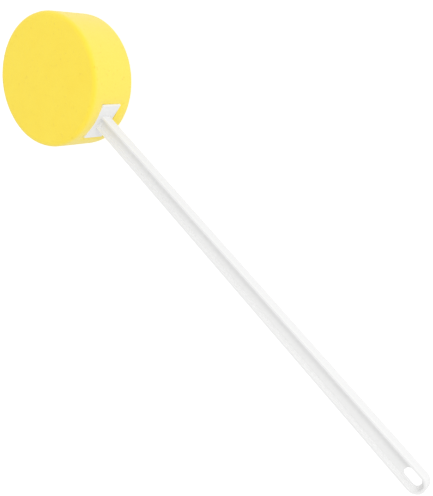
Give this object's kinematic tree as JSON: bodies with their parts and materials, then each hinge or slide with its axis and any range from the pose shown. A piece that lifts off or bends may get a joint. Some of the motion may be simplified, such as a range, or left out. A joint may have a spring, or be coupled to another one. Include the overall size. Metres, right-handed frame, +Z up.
{
  "type": "round foam sponge brush",
  "caption": "Round foam sponge on a long channel-section plastic handle with a hang slot near its tip.",
  "frame": {"origin": "where the sponge's disc axis meets its flat rest face", "axes": "+Z up along the disc axis, +X along the handle to its tip"},
  "size_m": [0.4407, 0.1, 0.042],
  "materials": {
    "yellow_foam": "open-cell polyurethane foam, bright yellow, matte",
    "plate_plastic": "moulded white plastic, satin",
    "white_plastic": "moulded white plastic, satin",
    "adhesive": "set hot-melt adhesive"
  },
  "bodies": {
    "root": {"sponge_head": "yellow_foam", "flange_plate": "plate_plastic", "handle": "white_plastic", "tongue_adhesive_front": "adhesive", "tongue_adhesive_back": "adhesive", "plate_adhesive": "adhesive"}
  },
  "joints": []
}
